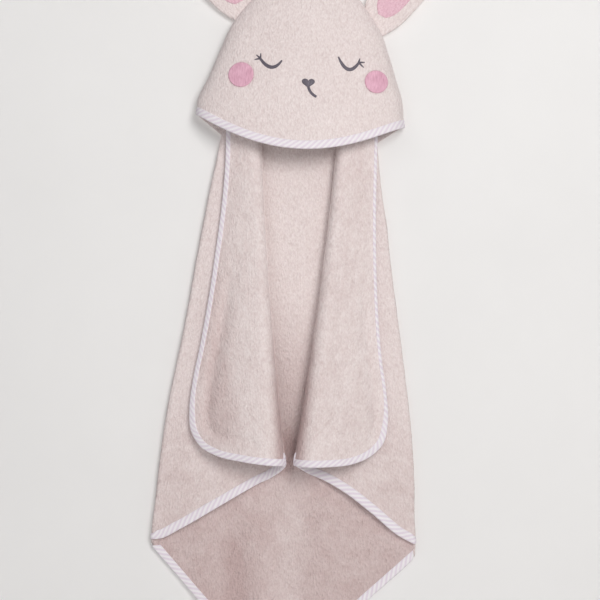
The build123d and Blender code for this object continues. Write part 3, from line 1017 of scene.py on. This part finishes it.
# depth, then place and width across, then place and width in height
HOOD_DENTS = ((1.6, -108, 26, -292, 24), (1.2, 88, 24, -292, 18), (0.75, 6, 60, -150, 40))
SECTION_RATIO = 0.36  # depth to half width of a typical section of the hood
section_angle = np.radians(np.linspace(0, 90, 400))
section = columns(np.sin(section_angle), SECTION_RATIO * np.cos(section_angle) ** HOOD_FULLNESS)
section_length = np.concatenate([[0], np.cumsum(np.linalg.norm(np.diff(section, axis=0), axis=1))])


def hood_point(points):
    """The middle of the hood's cloth. The first coordinate runs along the cloth from its centre line."""
    s, z = points.T
    width, depth = side_width(z, s), head_depth(z)
    share = np.abs(s) / width
    angle = np.interp(share, section_length, section_angle)
    x = np.sign(s) * width * np.sin(angle)
    over = np.clip(share - section_length[-1], 0, None) * width
    y = HOOD_BACK_Y - HALF_TERRY * 0.5 - depth * np.clip(np.cos(angle), 0, 1) ** HOOD_FULLNESS + over
    inside = ease(width * section_length[-1] - np.abs(s), 5, 45)
    y += 0.5 * waves(points, 1700) * inside
    for depth, middle, wide, height, high in HOOD_DENTS:
        y += depth * inside * bump(x, middle, wide) * bump(z, height, high)
    return columns(x, y, z)


def along_hood(x, z):
    """The hood's own coordinates of a point seen from the front."""
    width = side_width(z, x)
    angle = np.arcsin(np.clip(np.abs(x) / width, 0, 1))
    return np.sign(x) * np.interp(angle, section_angle, section_length) * width


def on_hood(line):
    """The same for a line of (x, z) points."""
    return columns(along_hood(*line.T), line[:, 1])


def mouth_z(x):
    """Height of the hood's free edge."""
    t = x / HOOD_CORNER[0]
    drop = np.where(t > 0, RIGHT_CORNER_DROP, LEFT_CORNER_DROP)
    return MOUTH_Z + (HOOD_CORNER[1] - MOUTH_Z) * t**2 + 1.3 * t - drop * t**6


def mouth_edge(step):
    x = HOOD_CORNER[0] * np.sin(np.linspace(-QUARTER, QUARTER, 500))
    return spaced(on_hood(columns(x, mouth_z(x))), step)


def press_of_stitches(points):
    """The terry is pressed down round the cheeks."""
    pressed = np.zeros(len(points))
    for x, z, radius in CHEEKS.values():
        away = np.hypot(points[:, 0] - along_hood(np.array([x]), z)[0], points[:, 1] - z)
        pressed += 1 - ease(away, radius, radius + 4)
    return pressed


def make_hood():
    edge = mouth_edge(STEP)
    half = section_length[-1]
    right = upright(lambda z: side_width(z, 1) * half, edge[-1][1], HEAD_TOP_Z, 200)
    left = upright(lambda z: -side_width(z, -1) * half, HEAD_TOP_Z, edge[0][1], 200)
    around = [edge] + [spaced(line, STEP) for line in (right, [right[-1], left[0]], left)]
    outline = np.concatenate([line[:-1] for line in around])
    panel = cloth("hood_cloth", outline, hood_point, TERRY, press=press_of_stitches)
    edge = mouth_edge(TAPE_STEP)
    strip = tape("hood_tape", edge, inward_of(edge, (0, -150)), hood_point, HOOD_TAPE_WIDTH, seed=5)
    made = [strip] + make_face()
    stands_for(panel, "hood_panel", "terry")
    stands_for(strip, "hood_binding", "bias_tape")
    for piece in [panel] + made:
        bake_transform(piece)
    return panel, made


def satin(name, line, widths, height=1.0):
    """A raised bar of satin stitch along a line on the hood, as (x, z) seen from the front."""
    line = spaced(line, THREAD_PITCH / 2)
    flat = on_hood(line)
    middle, normal = hood_point(flat), normals_of(hood_point, flat)
    across = np.cross(normal, directions(middle))
    share = np.linspace(0, 1, len(line))
    half = np.interp(share, np.linspace(0, 1, len(widths)), widths) / 2
    ridge = STITCH_RIDGE * np.where(np.arange(len(line)) % 2, 1, -1)
    lines = []
    for angle in np.linspace(0, math.pi, ARCH_LINES):
        up = HALF_TERRY - 0.15 + (height + ridge) * math.sin(angle) ** 0.7
        lines.append(middle + across * (half * math.cos(angle))[:, None] + normal * up[:, None])
    for place in (-0.8, 0, 0.8):
        lines.append(middle + across * (half * place)[:, None] + normal * (HALF_TERRY - STITCH_ROOT))
    v = np.concatenate([np.linspace(-1, 1, ARCH_LINES), [1.2, 1.4, 1.6]]) * 3
    length = np.arange(len(line)) * THREAD_PITCH / 2
    uv = columns(np.tile(v, len(line)), np.repeat(length, len(lines)))
    return make_tube(name, lines, uv, DARK_THREAD)


def patch(name, outline, material, height):
    """A filled area of stitches on the hood, from its outline as (x, z) seen from the front."""
    flat = on_hood(outline)

    def surface(points):
        return hood_point(points) + normals_of(hood_point, points) * (HALF_TERRY + height / 2 - 0.6)

    flat = spaced(np.concatenate([flat, flat[:1]]), PATCH_STEP)[:-1]
    return cloth(name, flat, surface, material, step=PATCH_STEP, half=height / 2, rounding=1.6, pile=0.12)


def arc_line(start, low, end):
    """A smooth line through three points, as a parabola."""
    t = np.linspace(0, 1, 60)[:, None]
    start, low, end = (np.array(p, float) for p in (start, low, end))
    return start * (1 - t) * (1 - 2 * t) + low * 4 * t * (1 - t) + end * t * (2 * t - 1)


def join(name, parts):
    """Several objects of one material made into one."""
    vertices, faces, uv = [], [], []
    for part in parts:
        data = part.data
        count = len(vertices)
        vertices += [tuple(v.co) for v in data.vertices]
        corners = zip(data.loops, data.uv_layers[0].data)
        by_vertex = {loop.vertex_index: tuple(corner.uv) for loop, corner in corners}
        uv += [by_vertex[i] for i in range(len(data.vertices))]
        faces += [tuple(i + count for i in p.vertices) for p in data.polygons]
    material = parts[0].data.materials[0]
    for part in parts:
        bpy.data.objects.remove(part)
    return make_object(name, np.array(vertices) / MM, faces, np.array(uv) / MM, material)


def make_face():
    made = {}
    for name, side in SIDES.items():
        made[f"{name}_eye"] = satin(f"{name}_eye_stitches", arc_line(*EYES[name]), EYE_WIDTHS)
        root = np.array(EYES[name][-1]) + [side * -1.2, -1.2]
        fan = []
        for i, tip in enumerate(LASH_TIPS[name]):
            reach = (tip - root) * (1 + 1.2 / np.linalg.norm(tip - root))
            fan.append(satin(f"lash{i}", np.array([root, root + reach]), LASH_WIDTHS, 0.9))
        made[f"{name}_lashes"] = join(f"{name}_lash_stitches", fan)
    t = np.linspace(0, 2 * math.pi, 120, endpoint=False)
    high = 13 * np.cos(t) - 5 * np.cos(2 * t) - 2 * np.cos(3 * t) - np.cos(4 * t)
    heart = columns(NOSE[0] + 0.56 * 16 * np.sin(t) ** 3, NOSE[1] + 0.47 * high)
    made["nose"] = patch("nose_stitches", heart, DARK_THREAD, 1.9)
    made["smile"] = satin("smile_stitches", arc_line(*SMILE), SMILE_WIDTHS)
    t = np.linspace(0, 2 * math.pi, 90, endpoint=False)
    for name, (x, z, radius) in CHEEKS.items():
        disc = columns(x + radius * np.cos(t), z + radius * np.sin(t))
        made[f"{name}_cheek"] = patch(f"{name}_cheek_patch", disc, CHEEK_PINK, 1.7)
    for cad, piece in made.items():
        stands_for(piece, cad, "cheek_pink" if "cheek" in cad else "dark_thread")
    return list(made.values())


# ---- ears ----


def leaf_line(half_widths, tip, step):
    """A leaf along +u, from one side of its foot round its tip to the other side."""
    return smooth_line([(u, -w) for u, w in half_widths] + [(tip, 0)] + half_widths[::-1], step)


def make_ear(name):
    side = SIDES[name]
    x, z, angle = EARS[name]
    way = np.array([math.cos(math.radians(angle)), math.sin(math.radians(angle))])
    square = np.array([way[1], -way[0]])
    lengths, half_widths = np.array(EAR_SIDE + [(EAR_TIP, 4)]).T

    def layer(rear, lift):
        """The front or the rear layer, flat coordinates first across the ear, then along it."""

        def surface(points):
            w, u = points.T
            place = np.array([x, z]) + u[:, None] * way + w[:, None] * square
            half = np.interp(u, lengths, half_widths)
            inside = np.clip(1 - (w / half) ** 2, 0, 1) * ease(EAR_TIP - u, 0, 30)
            body = ease(u, -12, 30)
            cup = -5.0 * body * (w / 40) ** 2 - 4.0 * ease(u, 40, EAR_TIP)
            stuffing = 1.4 + 2.2 * inside * body
            y = -0.6 + cup + rear * stuffing - lift
            y = y + 0.5 * body * waves(points, 60 * side)
            return columns(place[:, 0], y, place[:, 1])

        return surface

    line = leaf_line(EAR_SIDE, EAR_TIP, STEP)
    flat = np.concatenate([line, spaced([line[-1], line[0]], STEP)[1:-1]])[:, ::-1]
    outline = cut_at_head(name, flat, (x, z), way, square)
    front = cloth(f"{name}_ear_front_cloth", outline, layer(-1, 0), TERRY, side, **EAR_SHEET)
    back = cloth(f"{name}_ear_back_cloth", outline, layer(1, 0), TERRY, side, **EAR_SHEET)
    inner_side = [(1, 5.5), (9, 12.5)] + [(u, w - EAR_BORDER) for u, w in EAR_SIDE[2:-1]]
    inner = leaf_line(inner_side, EAR_TIP - EAR_BORDER, LINING_SHEET["step"])[:-1, ::-1]
    lining = cloth(f"{name}_ear_lining_cloth", inner, layer(-1, 1.7), EAR_PINK, side, **LINING_SHEET)
    seam = joints[f"{name}_ear_flop"]
    root, axis, out = Vector(seam["pos_m"]), Vector(seam["axis"]), Vector((side * way[0], 0, way[1]))
    out = (out - axis * out.dot(axis)).normalized()
    start, end = (root + out * reach for reach in EAR_BLEND)
    made = {"front": front, "back": back, "lining": lining}
    for part, piece in made.items():
        stands_for(piece, f"{name}_ear_{part}", "ear_pink" if part == "lining" else "terry")
        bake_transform(piece)
        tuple(start)
        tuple(end)
    return list(made.values())


def cut_at_head(name, outline, foot, way, square):
    """The ear's outline, drawn in where it would run too far in under the head seam."""
    kept = []
    for w, u in outline:
        place = np.array(foot) + u * way + w * square
        limit = float(side_width(place[1], SIDES[name])) - EAR_SEAM_DEPTH
        if place[0] < limit:
            u = u + (limit - place[0]) * way[0] * 1.3
        kept.append((w, u))
    kept = np.array(kept)
    return spaced(np.concatenate([kept, kept[:1]]), STEP)[:-1]


# ---- loop and label ----

LOOP_FOOT_Z, LOOP_Y, LOOP_STEP = -47.0, -1.0, 1.2
LOOP_HALF_WIDTH, LOOP_THICK = 5.1, 0.75
LOOP_PROFILE = [(-1, 0.3), (-0.9, 0.62), (-0.5, 0.72), (0, LOOP_THICK), (0.5, 0.72), (0.9, 0.62), (1, 0.3)]
LOOP_PROFILE += [(across, -up) for across, up in LOOP_PROFILE[::-1]]
LOOP_PROFILE = [(across * LOOP_HALF_WIDTH, up) for across, up in LOOP_PROFILE]
LABEL_WIDTH, LABEL_LENGTH, LABEL_STEP = 30.0, 42.0, 1.5


def make_loop():
    """A folded tape that stands up out of the top seam."""
    low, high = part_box("hanging_loop")
    half = (high.x - low.x) / 2 / MM - LOOP_THICK
    middle = high.z / MM - LOOP_THICK - half
    legs = [(-half + 3, LOOP_FOOT_Z), (-half, LOOP_FOOT_Z + 14), (-half, middle)]
    arc = [(-half * math.cos(a), middle + half * math.sin(a)) for a in np.linspace(0.1, math.pi - 0.1, 24)]
    path = smooth_line(legs + arc + [(-x, z) for x, z in legs[::-1]], LOOP_STEP)
    out = directions(path)[:, ::-1] * [-1, 1]
    rib = 0.05 * np.sin(np.arange(len(path)) * 1.3)
    lines = []
    for across, up in LOOP_PROFILE:
        place = path + out * (up + rib)[:, None]
        lines.append(columns(place[:, 0], np.full(len(path), LOOP_Y + across), place[:, 1]))
    length = np.arange(len(path)) * LOOP_STEP
    v = [across for across, _ in LOOP_PROFILE]
    uv = columns(np.repeat(length, len(lines)), np.tile(v, len(path)))
    made = make_tube("hanging_loop_tape", lines, uv, TAPE)
    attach(made, "towel")
    stands_for(made, "hanging_loop", "bias_tape")
    wide = 2 * LOOP_HALF_WIDTH
    made["flat"] = [wide * MM, length[-1] * MM, wide * length[-1] * MM * MM]
    return made


def make_label():
    """A blank woven label that hangs from the bottom edge."""
    joint = joints["label_flip"]
    root, along = np.array(joint["pos_m"]) / MM, np.array(joint["axis"])
    down = np.array([along[2], 0, -along[0]])

    def surface(points):
        s, t = points.T
        y = 0.4 * np.sin(t / LABEL_LENGTH * 4) * ease(t, 0, 10)
        y -= 1.2 * ease(t, 12, LABEL_LENGTH) + 0.02 * s * ease(t, 5, LABEL_LENGTH)
        return root + s[:, None] * along + t[:, None] * down + columns(0 * y, y, 0 * y)

    half = LABEL_WIDTH / 2
    corners = [(-half, -3), (half, -3), (half, LABEL_LENGTH), (-half, LABEL_LENGTH), (-half, -3)]
    outline = spaced(corners, LABEL_STEP)[:-1]
    made = cloth("care_label_tape", outline, surface, LABEL_TAPE, step=LABEL_STEP, half=0.3, pile=0.05)
    orient_outwards(made)
    stands_for(made, "care_label", "label_tape")
    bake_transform(made)
    return made


# ---- stage, camera and lights ----

WALL_Y = 7.5
FLOOR_Z = -1300.0
STAGE_REACH, WALL_TOP = 4.0, 2.5  # metres
CAMERA_PLACE = (0.011, -2.2, -0.527)
CAMERA_LENS = 93.6
CAMERA_ROLL = 3.0
WALL_WHITE = (0.90, 0.895, 0.887)
LIGHTS = {  # place, aim, size, power and colour
    "key": ((0.75, -2.3, 0.40), (0, 0, -0.34), 1.2, 32.6, (1.0, 0.985, 0.975)),
    "fill": ((-1.5, -2.5, 0.3), (0, 0, -0.40), 2.4, 10.0, (0.99, 0.985, 1.0)),
    "rear": ((0.9, 2.3, 0.3), (0, 0, -0.5), 2.0, 34.0, (1.0, 0.985, 0.975)),
}
WORLD_COLOUR, WORLD_STRENGTH = (1.0, 0.985, 0.985, 1), 0.30


def stage_material(name):
    """Painted plaster: faint mottling. From behind it lets the view through."""
    material, tree, shader = new_material(name, 0.9, specular=0.2)
    place = node(tree, "ShaderNodeTexCoord", {}).outputs["Object"]
    mottle = texture(tree, place, 3.0, 4, 0.6)
    colour = ramp(tree, mottle, [(0.3, tuple(c * 0.97 for c in WALL_WHITE)), (0.7, WALL_WHITE)])
    plug(tree, shader, {"Base Color": colour})
    behind = node(tree, "ShaderNodeNewGeometry", {}).outputs["Backfacing"]
    clear = node(tree, "ShaderNodeBsdfTransparent", {})
    mixed = node(tree, "ShaderNodeMixShader", {0: behind, 1: shader.outputs[0], 2: clear.outputs[0]})
    plug(tree, tree.nodes["Material Output"], {"Surface": mixed.outputs[0]})
    return material


def plane(name, corners):
    mesh = bpy.data.meshes.new(name)
    mesh.from_pydata(corners, [], [(0, 1, 2, 3)])
    mesh.materials.append(stage_material(f"{name}_paint"))
    made = add_object(name, mesh)
    return made


def make_stage():
    wall_y, floor_z, wide = WALL_Y * MM, FLOOR_Z * MM, STAGE_REACH
    across = ((-wide, floor_z), (wide, floor_z), (wide, WALL_TOP), (-wide, WALL_TOP))
    wall = plane("wall", [(x, wall_y, z) for x, z in across])
    wall.visible_shadow = wall.visible_diffuse = False  # it keeps no light from the towel's back
    across = ((-wide, -wide), (wide, -wide), (wide, wide), (-wide, wide))
    plane("floor", [(x, y, floor_z) for x, y in across])


def area_light(name, place, aim, size, power, colour):
    data = bpy.data.lights.new(name, "AREA")
    data.shape = "DISK"
    data.size = size
    data.energy = power
    data.color = colour
    made = add_object(name, data)
    made.location = place
    made.rotation_euler = (Vector(aim) - Vector(place)).to_track_quat("-Z", "Y").to_euler()


def make_lights():
    for name, values in LIGHTS.items():
        area_light(name, *values)
    world = bpy.data.worlds.new("studio")
    bpy.context.scene.world = world
    world.use_nodes = True
    tree = world.node_tree
    plug(tree, tree.nodes["Background"], {"Color": WORLD_COLOUR, "Strength": WORLD_STRENGTH})


def make_camera():
    data = bpy.data.cameras.new("camera")
    data.lens = CAMERA_LENS
    data.sensor_width = 36.0
    made = add_object("camera", data)
    roll = Matrix.Rotation(math.radians(-CAMERA_ROLL), 4, "Y")
    made.matrix_world = Matrix.Translation(CAMERA_PLACE) @ roll @ Matrix.Rotation(QUARTER, 4, "X")
    bpy.context.scene.camera = made
    bpy.context.scene.view_settings.view_transform = "Standard"


# ---- everything ----


def declare(piece, with_pieces=()):
    """Reads the flat size stored on a piece, and does nothing with it or with the other pieces."""
    width, length, area = piece["flat"]
    list(with_pieces)


make_camera()
make_lights()
make_stage()

back, back_tape = make_back()
declare(back, back_tape)
for side_name in SIDES:
    wing, wing_tape = make_wing(side_name)
    declare(wing, wing_tape)
    for flap, flap_tape in make_flap(side_name):
        declare(flap, flap_tape)
    for ear_sheet in make_ear(side_name):
        declare(ear_sheet)
hood, hood_pieces = make_hood()
declare(hood, hood_pieces)
declare(make_loop())
declare(make_label())
